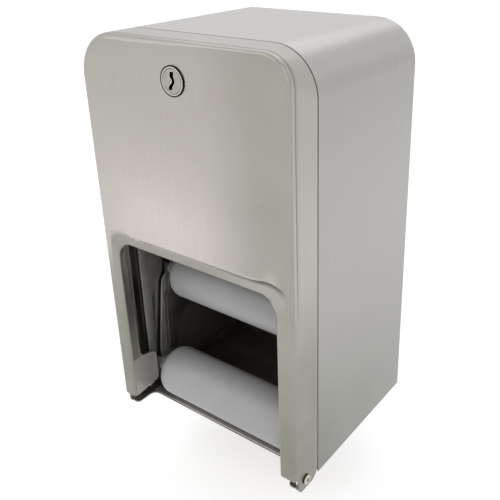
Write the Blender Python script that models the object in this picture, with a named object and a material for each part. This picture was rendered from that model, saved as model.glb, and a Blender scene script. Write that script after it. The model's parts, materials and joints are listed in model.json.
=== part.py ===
"""Double roll toilet paper dispenser: sheet metal cabinet, hinged door, two spindles."""

import math

import bmesh
import bpy
from mathutils import Vector

# Whole dispenser, in metres: X to the right, Y to the wall, Z up from the cabinet's bottom edge
width = 0.155
height = 0.272
depth = 0.135
corner_radius = 0.027
fit_gap = 0.0003
overrun = 0.002
weld_distance = 0.00001
arc_steps = 8
small_arc_steps = 4

# Cabinet shell: bent sheet, open to the front, with a joggled lip that the door closes over
cabinet_sheet = 0.0009
door_depth = 0.0252
joggle_depth = 0.0016
joggle_length = 0.0008
lip_length = 0.0074
lip_bottom = 0.014

# Door: drawn shell with the roll opening between two legs
door_sheet = 0.0012
seam_gap = 0.0008
edge_radius = 0.0043
leg_width = 0.0125
opening_top = 0.1376
opening_radius = 0.012
opening_roll_radius = 0.0025
leg_bottom = 0.0105
groove_depth = 0.0012
groove_start = 0.0172
return_depth = 0.006
leg_return_depth = 0.009
inner_plate_depth = 0.0235
inner_plate_top = 0.038
inner_plate_bottom = 0.013
inner_plate_radius = 0.004
ear_bottom = -0.002
ear_radius = 0.008
ear_toe_radius = 0.003
door_segments = 4
groove_fade_start = 25.0
groove_fade_span = 50.0

# Door hinge: one rivet through each ear and the tab behind it
hinge_setback = 0.0115
hinge_height = 0.005
hinge_rivet_radius = 0.0026
hinge_head_radius = 0.004
hinge_head_height = 0.0015
hinge_tail_radius = 0.0033
hinge_hole_radius = 0.0029
hinge_tab_radius = 0.0072
rivet_shoulder_share = 0.9
rivet_crown_share = 0.7
round_segments = 16

# Base floor with its two arms
floor_sheet = 0.0009
floor_lift = 0.0004
floor_front = 0.114
arm_width = 0.0077
arm_corner_radius = 0.003
arm_root_radius = 0.005
hem_width = 0.006
floor_flange_height = 0.010

# Back plate
back_sheet = 0.0012
back_flange_depth = 0.010
screw_hole_radius = 0.0032
keyhole_radius = 0.0055
keyhole_rise = 0.009
screw_hole_spread = 0.035
upper_hole_drop = 0.047
lower_hole_height = 0.050

# Track plates that guide the spindle pegs
track_sheet = 0.0012
track_wall_gap = 0.0004
track_bottom = 0.009
track_top = 0.150
track_front = 0.1103
track_corner_radius = 0.006
track_flange_width = 0.014
track_slot_half_width = 0.0026
slot_straight_rise = 0.010
slot_mouth_front = 0.0922
slot_mouth_height = 0.078
slot_lean = 0.0015
track_rivet_radius = 0.0016
track_rivet_head_radius = 0.003
track_rivet_head_height = 0.0012
track_rivet_heights = (0.028, 0.132)

# Spindles
spindle_radius = 0.018
spindle_end_radius = 0.008
hub_length = 0.0107
hub_tip_radius = 0.0052
hub_lever_gap = 0.0009
peg_radius = 0.0022
peg_wall_gap = 0.001
peg_chamfer = 0.0007
spindle_segments = 24
lower_spindle_front = 0.1015
lower_spindle_height = 0.020
reserve_spindle_front = 0.084
reserve_spindle_height = 0.0942
released_front = 0.099

# Release levers and the bar that joins them
lever_sheet = 0.003
lever_pivot_front = 0.0607
lever_pivot_height = 0.0597
lever_hole_radius = 0.0023
lever_rivet_radius = 0.002
lever_rivet_head_radius = 0.0038
lever_rivet_head_height = 0.0011
lever_head_front_width = 0.0041
lever_head_rear_width = 0.0052
lever_head_rise = 0.0045
lever_neck_drop = 0.0175
lever_tail_width = 0.0085
lever_tail_bottom = 0.026
lever_tail_front = 0.093
lever_tail_lean = 0.0014
lever_knee_drop = 0.023
lever_arm_half_width = 0.0065
lever_round_radius = 0.0055
lever_corner_radius = 0.002
release_bar_radius = 0.003
release_bar_neck_radius = 0.002
release_bar_front = 0.016
release_bar_height = 0.070

# Lock in the door
lock_drop = 0.0215
lock_rim_radius = 0.0096
lock_rim_height = 0.0012
lock_body_radius = 0.008
lock_body_length = 0.0205
lock_hole_radius = 0.0083
plug_face_radius = 0.0083
plug_face_depth = 0.0016
plug_radius = 0.0058
plug_gap = 0.0004
plug_tail_length = 0.0008
key_slot_width = 0.0022
key_slot_height = 0.0078
key_slot_depth = 0.006
washer_radius = 0.0108
washer_sheet = 0.0008
nut_radius = 0.0125
nut_height = 0.004
cam_sheet = 0.0016
cam_half_width = 0.0058
cam_reach = 0.015
cam_screw_radius = 0.0018
cam_screw_hole_radius = 0.0021
cam_screw_head_radius = 0.0038
cam_screw_head_height = 0.002
cam_screw_depth = 0.006
cam_corner_share = 0.9
screw_crown_share = 0.7

# Strike under the cabinet's front lip
strike_half_width = 0.012
strike_sheet = 0.0012
strike_drop = 0.0092
strike_foot_length = 0.0058

# Places that several pieces share
half_width = width / 2
front = -depth
seam = door_depth - depth
flange_rear = seam - seam_gap
lip_front = seam - lip_length
lip_outer = half_width - joggle_depth
hinge_y = front + hinge_setback
opening_half_width = half_width - leg_width
lock_height = height - lock_drop
upper_hole_height = height - upper_hole_drop
arm_inner = lip_outer - arm_width
opening_centre_x = opening_half_width - opening_radius
opening_centre_z = opening_top - opening_radius
flat_half_width = half_width - edge_radius
groove_end = flat_half_width - opening_centre_x
lower_spindle_y = -lower_spindle_front
reserve_spindle_y = -reserve_spindle_front
lever_pivot_y = -lever_pivot_front
release_bar_y = -release_bar_front
floor_top = floor_lift + floor_sheet
track_outer = lip_outer - cabinet_sheet - track_wall_gap
track_inner = track_outer - track_sheet
lever_outer = track_inner - fit_gap
lever_inner = lever_outer - lever_sheet
hub_end = lever_inner - hub_lever_gap
spindle_half_length = hub_end - hub_length
peg_end = half_width - cabinet_sheet - peg_wall_gap
plug_face = front - lock_rim_height
barrel_rear = front + lock_body_length


def clear_scene():
    for old in list(bpy.data.objects):
        bpy.data.objects.remove(old, do_unlink=True)


def make_material(name, color, metallic, roughness):
    material = bpy.data.materials.new(name)
    material.use_nodes = True
    shader = material.node_tree.nodes["Principled BSDF"]
    shader.inputs["Base Color"].default_value = (*color, 1)
    shader.inputs["Metallic"].default_value = metallic
    shader.inputs["Roughness"].default_value = roughness
    return material


def add_mesh(name, bm, material, parent):
    """Put a finished bmesh into the scene as one named object."""
    mesh = bpy.data.meshes.new(name)
    bm.to_mesh(mesh)
    bm.free()
    item = bpy.data.objects.new(name, mesh)
    bpy.context.scene.collection.objects.link(item)
    item.parent = parent
    if material is not None:
        mesh.materials.append(material)
    return item


def closed_bmesh(faces):
    """Faces given as lists of points become one welded mesh whose faces point outwards."""
    bm = bmesh.new()
    for face in faces:
        bm.faces.new([bm.verts.new(point) for point in face])
    bmesh.ops.remove_doubles(bm, verts=bm.verts, dist=weld_distance)
    bmesh.ops.recalc_face_normals(bm, faces=bm.faces)
    return bm


def arc(centre, radius, start, end, steps=small_arc_steps):
    """Points on an arc, both ends included, with angles in degrees."""
    points = []
    for step in range(steps + 1):
        angle = math.radians(start + (end - start) * step / steps)
        points.append((centre[0] + radius * math.cos(angle), centre[1] + radius * math.sin(angle)))
    return points


def rounded_outline(corners):
    """Round each corner (a, b, radius) of a closed outline with an arc between its tangent points."""
    points = []
    for index, (a, b, radius) in enumerate(corners):
        here = Vector((a, b))
        before = Vector(corners[index - 1][:2])
        after = Vector(corners[(index + 1) % len(corners)][:2])
        to_before = (before - here).normalized()
        to_after = (after - here).normalized()
        if radius == 0:
            points.append((a, b))
            continue
        half_angle = to_before.angle(to_after) / 2
        centre = here + (to_before + to_after).normalized() * radius / math.sin(half_angle)
        first = here + to_before * radius / math.tan(half_angle) - centre
        last = here + to_after * radius / math.tan(half_angle) - centre
        turn = first.angle_signed(last)
        for step in range(small_arc_steps + 1):
            angle = math.atan2(first.y, first.x) - turn * step / small_arc_steps
            points.append((centre.x + radius * math.cos(angle), centre.y + radius * math.sin(angle)))
    return points


def arch(half, top, radius, bottom, steps=arc_steps):
    """Points (x, z) up the left side, round both top corners and down the right side."""
    left = arc((radius - half, top - radius), radius, 180, 90, steps)
    right = arc((half - radius, top - radius), radius, 90, 0, steps)
    return [(-half, bottom)] + left + right + [(half, bottom)]


def place(axis, along, pair):
    """A point from its distance along an axis and its two coordinates across it."""
    if axis == "X":
        return (along, pair[0], pair[1])
    if axis == "Y":
        return (pair[0], along, pair[1])
    return (pair[0], pair[1], along)


def prism(name, outline, axis, low, high, material, parent):
    """A flat outline given a thickness along one axis."""
    bottom = [place(axis, low, pair) for pair in outline]
    top = [place(axis, high, pair) for pair in outline]
    faces = [bottom, top]
    for index in range(len(outline)):
        after = (index + 1) % len(outline)
        faces.append([bottom[index], bottom[after], top[after], top[index]])
    return add_mesh(name, closed_bmesh(faces), material, parent)


def turned(name, profile, axis, centre, material, parent, segments=round_segments):
    """A closed profile of (distance along the axis, radius) pairs, turned about the axis."""
    rings = []
    for along, radius in profile:
        ring = []
        for step in range(segments):
            angle = 2 * math.pi * step / segments
            across = (centre[0] + radius * math.cos(angle), centre[1] + radius * math.sin(angle))
            ring.append(place(axis, along, across))
        rings.append((radius, ring))
    faces = []
    for index, (radius, ring) in enumerate(rings):
        next_radius, next_ring = rings[(index + 1) % len(rings)]
        if radius == 0 and next_radius == 0:
            continue
        for step in range(segments):
            after = (step + 1) % segments
            if radius == 0:
                faces.append([ring[0], next_ring[step], next_ring[after]])
            elif next_radius == 0:
                faces.append([ring[step], ring[after], next_ring[0]])
            else:
                faces.append([ring[step], ring[after], next_ring[after], next_ring[step]])
    item = add_mesh(name, closed_bmesh(faces), material, parent)
    item.data.shade_smooth()
    item.data.set_sharp_from_angle(angle=math.radians(35))
    return item


def combine(item, tool, operation):
    """Cut a tool away from an item, or join it on; the tool itself isn't part of the object."""
    tool.hide_render = True
    tool.display_type = "WIRE"
    modifier = item.modifiers.new(operation.lower(), "BOOLEAN")
    modifier.operation = operation
    modifier.solver = "EXACT"
    modifier.object = tool


def cut(item, tool):
    combine(item, tool, "DIFFERENCE")


def join(item, tool):
    combine(item, tool, "UNION")


def drill(item, name, axis, centre, radius, low, high, parent):
    """A round hole through an item between two places on an axis."""
    profile = [(low, 0), (low, radius), (high, radius), (high, 0)]
    cut(item, turned(name, profile, axis, centre, None, parent))


def solidify(item, sheet):
    """Give an outer surface its sheet thickness, inwards."""
    modifier = item.modifiers.new("sheet", "SOLIDIFY")
    modifier.thickness = sheet
    modifier.offset = -1
    modifier.use_even_offset = True
    modifier.use_quality_normals = True


def skin(name, faces, facing, material, parent):
    """An open outer surface, turned so that its first face looks along the facing direction."""
    bm = closed_bmesh(faces)
    bm.faces.ensure_lookup_table()
    if bm.faces[0].normal.dot(Vector(facing)) < 0:
        bmesh.ops.reverse_faces(bm, faces=bm.faces)
    return add_mesh(name, bm, material, parent)


def strip(first, second):
    """Quads between two rows of points."""
    return [
        [first[index], first[index + 1], second[index + 1], second[index]]
        for index in range(len(first) - 1)
    ]


def row(pairs, y):
    """Points of a front view outline at one depth, which may be one value or one for each point."""
    depths = y if isinstance(y, list) else [y] * len(pairs)
    return [(x, at, z) for (x, z), at in zip(pairs, depths)]


def make_cabinet_shell(material, parent):
    """Top and sides in one sheet, stepped in at the front to form the lip."""
    stations = [
        (0, 0, 0, 0),
        (seam, seam + joggle_length, 0, 0),
        (seam - joggle_length, seam, joggle_depth, lip_bottom),
        (lip_front, lip_front, joggle_depth, lip_bottom),
    ]
    outer = []
    inner = []
    for outer_y, inner_y, inset, bottom in stations:
        path = arch(half_width - inset, height - inset, corner_radius - inset, bottom)
        outer.append(row(path, outer_y))
        inset = inset + cabinet_sheet
        path = arch(half_width - inset, height - inset, corner_radius - inset, bottom)
        inner.append(row(path, inner_y))
    faces = strip(outer[0], inner[0]) + strip(outer[-1], inner[-1])
    for index in range(len(stations) - 1):
        faces += strip(outer[index], outer[index + 1])
        faces += strip(inner[index], inner[index + 1])
        for end in (0, -1):
            faces.append([
                outer[index][end], outer[index + 1][end],
                inner[index + 1][end], inner[index][end],
            ])
    return add_mesh("cabinet_shell", closed_bmesh(faces), material, parent)


def make_back_plate(material, parent):
    """A pan: the wall face, with a flange forward inside the shell's top and sides."""
    inset = cabinet_sheet + fit_gap
    bottom = floor_top + fit_gap
    path = arch(half_width - inset, height - inset, corner_radius - inset, bottom)
    faces = [row(path, 0)]
    faces += strip(row(path, 0), row(path, -back_flange_depth))
    plate = skin("back_plate", faces, (0, 1, 0), material, parent)
    solidify(plate, back_sheet)
    for side in (-1, 1):
        x = side * screw_hole_spread
        drill(plate, "lower_hole_cutter", "Y", (x, lower_hole_height),
              screw_hole_radius, -overrun, overrun, parent)
        keyhole = rounded_keyhole(x)
        cut(plate, prism("keyhole_cutter", keyhole, "Y", -overrun, overrun, None, parent))
        for z in track_rivet_heights:
            drill(plate, "track_rivet_cutter", "Y", (side * track_rivet_x(), z),
                  track_rivet_radius + fit_gap, -overrun, overrun, parent)
    return plate


def rounded_keyhole(x):
    """A round mouth for the screw head with a narrow slot above it for the screw's neck."""
    mouth_half_angle = math.degrees(math.asin(screw_hole_radius / keyhole_radius))
    mouth = arc((x, upper_hole_height), keyhole_radius,
                90 + mouth_half_angle, 450 - mouth_half_angle, 3 * small_arc_steps)
    neck = arc((x, upper_hole_height + keyhole_rise), screw_hole_radius, 0, 180)
    return mouth + neck


def track_rivet_x():
    return track_inner - track_flange_width / 2


def make_base_floor(material, parent):
    """Bottom plate with two forward arms, a hemmed front edge, side flanges and hinge tabs."""
    arm_outer = lip_outer
    arm_front = hinge_y - hinge_tab_radius
    rear = -fit_gap
    corners = []
    for side in (-1, 1):
        half = [
            (side * arm_outer, rear, 0),
            (side * arm_outer, arm_front, arm_corner_radius),
            (side * arm_inner, arm_front, arm_corner_radius),
            (side * arm_inner, -floor_front, arm_root_radius),
        ]
        corners += half if side < 0 else half[::-1]
    floor = prism("base_floor", rounded_outline(corners), "Z", floor_lift, floor_top, material, parent)
    hem = [
        (-arm_inner, -floor_front), (arm_inner, -floor_front),
        (arm_inner, hem_width - floor_front), (-arm_inner, hem_width - floor_front),
    ]
    join(floor, prism("hem_tool", hem, "Z", floor_lift + floor_sheet / 2,
                      floor_top + floor_sheet, None, parent))
    flange_rear_end = -back_flange_depth - fit_gap
    for side in (-1, 1):
        tab = [(hinge_y - hinge_tab_radius, floor_lift)]
        tab += arc((hinge_y, hinge_height), hinge_tab_radius, 180, 0, arc_steps)
        tab += [(hinge_y + hinge_tab_radius, floor_lift)]
        join(floor, prism("tab_tool", tab, "X", side * arm_outer,
                          side * (arm_outer - door_sheet), None, parent))
        flange = [
            (flange_rear_end, floor_lift), (seam + overrun, floor_lift),
            (seam + overrun, floor_flange_height), (flange_rear_end, floor_flange_height),
        ]
        join(floor, prism("flange_tool", flange, "X", side * arm_outer,
                          side * (arm_outer - floor_sheet), None, parent))
        drill(floor, "hinge_hole_cutter", "X", (hinge_y, hinge_height), hinge_hole_radius,
              side * (arm_outer - door_sheet - overrun), side * (arm_outer + overrun), parent)
    return floor


def groove_fade(path):
    """How deep the groove is at each point of an opening path: full over the opening, none at the legs."""
    fades = []
    for x, z in path:
        run = max(abs(x) - opening_centre_x, 0)
        rise = z - opening_centre_z
        angle = math.degrees(math.atan2(rise, run)) if rise > 0 else 0
        share = min(max((angle - groove_fade_start) / groove_fade_span, 0), 1)
        fades.append(share * share * (3 - 2 * share))
    return fades


def opening_row(distance, y, setback_share):
    """A row that follows the opening at one distance from its corner centres."""
    path = arch(opening_centre_x + distance, opening_centre_z + distance, distance,
                leg_bottom, arc_steps)
    fades = groove_fade(path)
    return row(path, [y + groove_depth * setback_share * fade for fade in fades])


def edge_path(inset):
    """The door's outer edge path at one inset, with a point where the legs meet the upper panel."""
    path = arch(half_width - inset, height - inset, corner_radius - inset, leg_bottom)
    left = (path[0][0], opening_centre_z)
    right = (path[-1][0], opening_centre_z)
    return path[:1] + [left] + path[1:-1] + [right] + path[-1:]


def make_door_panel(material, parent):
    """Flat upper panel and band, rolled edges, side flanges with hinge ears, inner return plates."""
    panel_edge = opening_row(groove_end, front, 0)
    top_edge = row(edge_path(edge_radius), front)
    faces = [panel_edge[1:-1] + top_edge[2:-2][::-1]]

    groove_run = groove_end - groove_start
    groove_shares = ((0, 1), (0.35, 0.85), (0.7, 0.2))
    rows = [opening_row(opening_radius, front + return_depth, 1)]
    for step in range(door_segments + 1):
        angle = math.pi / 2 * step / door_segments
        distance = opening_radius + opening_roll_radius * (1 - math.cos(angle))
        rows.append(opening_row(distance, front + opening_roll_radius * (1 - math.sin(angle)), 1))
    for run_share, setback_share in groove_shares:
        rows.append(opening_row(groove_start + groove_run * run_share, front, setback_share))
    rows.append(panel_edge)
    faces += strip(rows[0][1:-1], rows[1][1:-1])
    for first, second in zip(rows[1:], rows[2:]):
        faces += strip(first, second)

    rows = []
    for step in range(door_segments + 1):
        angle = math.pi / 2 * step / door_segments
        inset = edge_radius * (1 - math.sin(angle))
        rows.append(row(edge_path(inset), front + edge_radius * (1 - math.cos(angle))))
    for first, second in zip(rows, rows[1:]):
        faces += strip(first, second)
    rear = row(edge_path(0), flange_rear)
    faces += strip(rows[-1][1:-1], rear[1:-1])

    roll_y = front + edge_radius
    ear = [(roll_y, leg_bottom), (roll_y, opening_centre_z), (flange_rear, opening_centre_z)]
    ear += arc((flange_rear - ear_radius, ear_bottom + ear_radius), ear_radius, 0, -90)
    ear += arc((roll_y + ear_toe_radius, ear_bottom + ear_toe_radius), ear_toe_radius, -90, -180)
    inner_y = front + opening_roll_radius
    plate_rear = front + inner_plate_depth
    step_y = front + leg_return_depth
    plate = rounded_outline([
        (inner_y, leg_bottom, 0),
        (plate_rear, inner_plate_bottom, inner_plate_radius / 2),
        (plate_rear, inner_plate_top, inner_plate_radius),
        (step_y, inner_plate_top + inner_plate_radius, inner_plate_radius),
        (front + return_depth, opening_centre_z, 0),
        (inner_y, opening_centre_z, 0),
    ])
    for side in (-1, 1):
        faces.append([place("X", side * half_width, pair) for pair in ear])
        faces.append([place("X", side * opening_half_width, pair) for pair in plate])

    door = skin("door_panel", faces, (0, -1, 0), material, parent)
    solidify(door, door_sheet)
    drill(door, "lock_hole_cutter", "Y", (0, lock_height), lock_hole_radius,
          front - overrun, front + door_sheet + overrun, parent)
    for side in (-1, 1):
        drill(door, "ear_hole_cutter", "X", (hinge_y, hinge_height), hinge_hole_radius,
              side * (half_width - door_sheet - overrun), side * (half_width + overrun), parent)
    return door


def make_hinge_rivet(name, side, material, parent):
    """A domed head outside the ear, a shank through ear and tab, and a spread tail inside."""
    head = half_width + fit_gap
    tail = lip_outer - door_sheet - fit_gap
    profile = [
        (head + hinge_head_height, 0),
        (head + hinge_head_height, hinge_head_radius / 2),
        (head + hinge_head_height / 2, hinge_head_radius * rivet_shoulder_share),
        (head, hinge_head_radius),
        (head, hinge_rivet_radius),
        (tail, hinge_rivet_radius),
        (tail, hinge_tail_radius),
        (tail - hinge_head_height, hinge_tail_radius * rivet_crown_share),
        (tail - hinge_head_height, 0),
    ]
    profile = [(side * along, radius) for along, radius in profile]
    return turned(name, profile, "X", (hinge_y, hinge_height), material, parent)


def make_track_plate(name, side, material, parent):
    """Plate with the peg slot, and a rear flange that is riveted to the back plate."""
    rear = -back_sheet - fit_gap
    corners = [
        (rear, track_bottom, 0),
        (-track_front, track_bottom, track_corner_radius),
        (-track_front, track_top, track_corner_radius),
        (rear, track_top, 0),
    ]
    plate = prism(name, rounded_outline(corners), "X", side * track_inner, side * track_outer,
                  material, parent)
    flange = [
        (side * (track_inner + track_sheet / 2), rear),
        (side * (track_inner - track_flange_width), rear),
        (side * (track_inner - track_flange_width), rear - track_sheet),
        (side * (track_inner + track_sheet / 2), rear - track_sheet),
    ]
    join(plate, prism("flange_tool", flange, "Z", track_bottom, track_top, None, parent))
    cut(plate, prism("slot_cutter", slot_outline(), "X", side * (track_inner - overrun),
                     side * (track_outer + overrun), None, parent))
    drill(plate, "lever_hole_cutter", "X", (lever_pivot_y, lever_pivot_height), lever_hole_radius,
          side * (track_inner - overrun), side * (track_outer + overrun), parent)
    for z in track_rivet_heights:
        drill(plate, "rivet_hole_cutter", "Y", (side * track_rivet_x(), z),
              track_rivet_radius + fit_gap, rear - track_sheet - overrun, rear + overrun, parent)
    return plate


def slot_outline():
    """The peg's way: in at the plate's top, round the lever's arc, then down to the lower seat."""
    half = track_slot_half_width
    reach = lever_reach()
    start = math.degrees(math.atan2(reserve_spindle_height - lever_pivot_height,
                                    reserve_spindle_y - lever_pivot_y))
    end = start + release_angle()
    pivot = (lever_pivot_y, lever_pivot_height)
    rear_side = arc(pivot, reach - half, start, end)
    front_side = arc(pivot, reach + half, end, start)
    seat_rear = lower_spindle_y + half
    seat_front = lower_spindle_y - half
    outline = [(reserve_spindle_y + half, track_top + overrun)]
    outline += arc((reserve_spindle_y, reserve_spindle_height), half, 0, start - 180)
    outline += [pair for pair in rear_side[1:] if pair[0] > -slot_mouth_front]
    outline.append((-slot_mouth_front, slot_mouth_height))
    outline.append((seat_rear, lower_spindle_height + slot_straight_rise))
    outline += arc((lower_spindle_y, lower_spindle_height), half, 0, -180, arc_steps)
    outline.append((seat_front, lower_spindle_height + slot_straight_rise))
    outline.append((seat_front + slot_lean, released_height()))
    outline += [pair for pair in front_side if pair[0] < reserve_spindle_y - half]
    outline.append((reserve_spindle_y - half, track_top + overrun))
    return outline


def lever_reach():
    """From the levers' pivot to the reserve peg in its cradle."""
    return math.hypot(reserve_spindle_y - lever_pivot_y, reserve_spindle_height - lever_pivot_height)


def released_height():
    """Height of the reserve peg when the levers have let it down to the straight track."""
    across = lever_pivot_y + released_front
    return lever_pivot_height + math.sqrt(lever_reach() ** 2 - across ** 2)


def release_angle():
    """Degrees that the levers turn while the reserve peg goes from its cradle to the straight track."""
    start = math.atan2(reserve_spindle_height - lever_pivot_height, lever_pivot_y - reserve_spindle_y)
    end = math.atan2(released_height() - lever_pivot_height, lever_pivot_y + released_front)
    return math.degrees(start - end)


def make_track_rivet(name, side, z, material, parent):
    """Small rivet through a track plate's flange into the back plate."""
    rear = -back_sheet - fit_gap - track_sheet - fit_gap
    profile = [
        (rear - track_rivet_head_height, 0),
        (rear - track_rivet_head_height, track_rivet_head_radius * rivet_crown_share),
        (rear, track_rivet_head_radius),
        (rear, track_rivet_radius),
        (-fit_gap, track_rivet_radius),
        (-fit_gap, 0),
    ]
    return turned(name, profile, "Y", (side * track_rivet_x(), z), material, parent)


def make_release_lever(name, side, material, parent):
    """Lever with a cradle for the reserve peg, a tail behind the track's slot and an arm to the bar."""
    head_front = reserve_spindle_y - lever_head_front_width
    head_rear = reserve_spindle_y + lever_head_rear_width
    head_top = reserve_spindle_height + lever_head_rise
    neck = reserve_spindle_height - lever_neck_drop
    tail_front = -lever_tail_front
    tail_rear = tail_front + lever_tail_width
    arm_low = lever_pivot_height - lever_arm_half_width
    arm_high = lever_pivot_height + lever_arm_half_width
    bar_low = release_bar_height - lever_arm_half_width
    bar_high = release_bar_height + lever_arm_half_width
    bar_end = release_bar_y + lever_arm_half_width
    large = lever_round_radius
    small = lever_corner_radius
    corners = [
        (head_front, head_top, small / 2),
        (head_front, neck, small),
        (tail_front + lever_tail_lean, reserve_spindle_height - lever_knee_drop, small),
        (tail_front, lever_tail_bottom, small),
        (tail_rear, lever_tail_bottom, small),
        (tail_rear + lever_tail_lean, arm_low, large),
        (lever_pivot_y, arm_low, large),
        (bar_end, bar_low, large),
        (bar_end, bar_high, large),
        (lever_pivot_y, arm_high, large),
        (head_rear, neck, large),
        (head_rear, head_top, small / 2),
    ]
    lever = prism(name, rounded_outline(corners), "X", side * lever_inner, side * lever_outer,
                  material, parent)
    half = track_slot_half_width
    low = side * (lever_inner - overrun)
    high = side * (lever_outer + overrun)
    notch = arc((reserve_spindle_y, reserve_spindle_height), half, -180, 0, arc_steps)
    notch += [(reserve_spindle_y + half, head_top + overrun), (reserve_spindle_y - half, head_top + overrun)]
    cut(lever, prism("notch_cutter", notch, "X", low, high, None, parent))
    drill(lever, "pivot_cutter", "X", (lever_pivot_y, lever_pivot_height), lever_hole_radius,
          low, high, parent)
    drill(lever, "bar_cutter", "X", (release_bar_y, release_bar_height), lever_hole_radius,
          low, high, parent)
    return lever


def make_lever_rivet(name, side, material, parent):
    """Pivot of a lever: a head inside the lever, a tail outside the track plate."""
    head = lever_inner - fit_gap
    tail = track_outer + fit_gap
    profile = [
        (head - lever_rivet_head_height, 0),
        (head - lever_rivet_head_height, lever_rivet_head_radius * rivet_crown_share),
        (head, lever_rivet_head_radius),
        (head, lever_rivet_radius),
        (tail, lever_rivet_radius),
        (tail, lever_rivet_head_radius * rivet_shoulder_share),
        (tail + lever_rivet_head_height, lever_rivet_head_radius * rivet_crown_share),
        (tail + lever_rivet_head_height, 0),
    ]
    profile = [(side * along, radius) for along, radius in profile]
    return turned(name, profile, "X", (lever_pivot_y, lever_pivot_height), material, parent)


def make_release_bar(material, parent):
    """Round bar with a thinner neck through each lever."""
    shoulder = lever_inner - fit_gap
    end = lever_outer - fit_gap
    profile = [
        (-end, 0), (-end, release_bar_neck_radius), (-shoulder, release_bar_neck_radius),
        (-shoulder, release_bar_radius), (shoulder, release_bar_radius),
        (shoulder, release_bar_neck_radius), (end, release_bar_neck_radius), (end, 0),
    ]
    return turned("release_bar", profile, "X", (release_bar_y, release_bar_height), material, parent)


def make_spindle(name, parent, material):
    """Roller with rounded ends, a tapered hub and a peg at each end, about its own axis."""
    half = []
    shoulder = spindle_half_length - spindle_end_radius
    for step in range(small_arc_steps + 1):
        angle = math.pi / 2 * step / small_arc_steps
        half.append((shoulder + spindle_end_radius * math.sin(angle),
                     spindle_radius - spindle_end_radius * (1 - math.cos(angle))))
    half += [
        (hub_end, hub_tip_radius),
        (hub_end, peg_radius),
        (peg_end - peg_chamfer, peg_radius),
        (peg_end, peg_radius - peg_chamfer),
        (peg_end, 0),
    ]
    profile = [(-along, radius) for along, radius in half[::-1]] + half
    return turned(name, profile, "X", (0, 0), material, parent, spindle_segments)


def make_lock_barrel(material, parent):
    """Rim in front of the door and a body through it, bored for the plug."""
    rim_rear = front - fit_gap
    face_bore = plug_face_radius + plug_gap
    profile = [
        (plug_face, face_bore),
        (plug_face, lock_rim_radius),
        (rim_rear, lock_rim_radius),
        (rim_rear, lock_body_radius),
        (barrel_rear, lock_body_radius),
        (barrel_rear, plug_radius + plug_gap),
        (rim_rear + plug_face_depth, plug_radius + plug_gap),
        (rim_rear + plug_face_depth, lock_body_radius - plug_gap),
        (rim_rear - plug_gap, lock_body_radius - plug_gap),
        (rim_rear - plug_gap, face_bore),
    ]
    return turned("lock_barrel", profile, "Y", (0, lock_height), material, parent, spindle_segments)


def make_lock_plug(material, parent):
    """Face with the key slot, a shaft to the back, and a threaded hole for the cam's screw."""
    rim_rear = front - fit_gap
    tail = barrel_rear + plug_tail_length
    profile = [
        (plug_face, 0),
        (plug_face, plug_face_radius),
        (rim_rear - 2 * plug_gap, plug_face_radius),
        (rim_rear - 2 * plug_gap, plug_radius),
        (tail, plug_radius),
        (tail, cam_screw_hole_radius),
        (tail - cam_screw_depth - overrun, cam_screw_hole_radius),
        (tail - cam_screw_depth - overrun, 0),
    ]
    plug = turned("lock_plug", profile, "Y", (0, lock_height), material, parent, spindle_segments)
    half_slot = key_slot_width / 2
    half_tall = key_slot_height / 2
    slot = [
        (-half_slot, lock_height - half_tall), (half_slot, lock_height - half_tall),
        (half_slot, lock_height + half_tall), (-half_slot, lock_height + half_tall),
    ]
    cut(plug, prism("key_slot_cutter", slot, "Y", plug_face - overrun,
                    plug_face + key_slot_depth, None, parent))
    return plug


def make_lock_washer(material, parent):
    low = front + door_sheet + fit_gap
    bore = lock_body_radius + fit_gap
    profile = [
        (low, bore), (low, washer_radius),
        (low + washer_sheet, washer_radius), (low + washer_sheet, bore),
    ]
    return turned("lock_washer", profile, "Y", (0, lock_height), material, parent, spindle_segments)


def make_lock_nut(material, parent):
    low = front + door_sheet + fit_gap + washer_sheet + fit_gap
    hexagon = arc((0, lock_height), nut_radius, 0, 300, 5)
    nut = prism("lock_nut", hexagon, "Y", low, low + nut_height, material, parent)
    profile_radius = lock_body_radius + fit_gap
    profile = [
        (low - overrun, 0), (low - overrun, profile_radius),
        (low + nut_height + overrun, profile_radius), (low + nut_height + overrun, 0),
    ]
    cut(nut, turned("nut_bore_cutter", profile, "Y", (0, lock_height), None, parent, spindle_segments))
    return nut


def make_lock_cam(material, parent):
    """Flat cam on the back of the plug, lying to the right while the lock is open."""
    low = barrel_rear + plug_tail_length + fit_gap
    corners = [
        (-cam_half_width, lock_height - cam_half_width, cam_half_width * cam_corner_share),
        (cam_reach, lock_height - cam_half_width, cam_half_width / 2),
        (cam_reach, lock_height + cam_half_width, cam_half_width / 2),
        (-cam_half_width, lock_height + cam_half_width, cam_half_width * cam_corner_share),
    ]
    cam = prism("lock_cam", rounded_outline(corners), "Y", low, low + cam_sheet, material, parent)
    drill(cam, "cam_hole_cutter", "Y", (0, lock_height), cam_screw_hole_radius,
          low - overrun, low + cam_sheet + overrun, parent)
    return cam


def make_cam_screw(material, parent):
    seat = barrel_rear + plug_tail_length + fit_gap + cam_sheet + fit_gap
    end = seat - cam_sheet - cam_screw_depth
    profile = [
        (end, 0), (end, cam_screw_radius), (seat, cam_screw_radius),
        (seat, cam_screw_head_radius),
        (seat + cam_screw_head_height / 2, cam_screw_head_radius),
        (seat + cam_screw_head_height, cam_screw_head_radius * screw_crown_share),
        (seat + cam_screw_head_height, 0),
    ]
    return turned("cam_screw", profile, "Y", (0, lock_height), material, parent)


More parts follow.
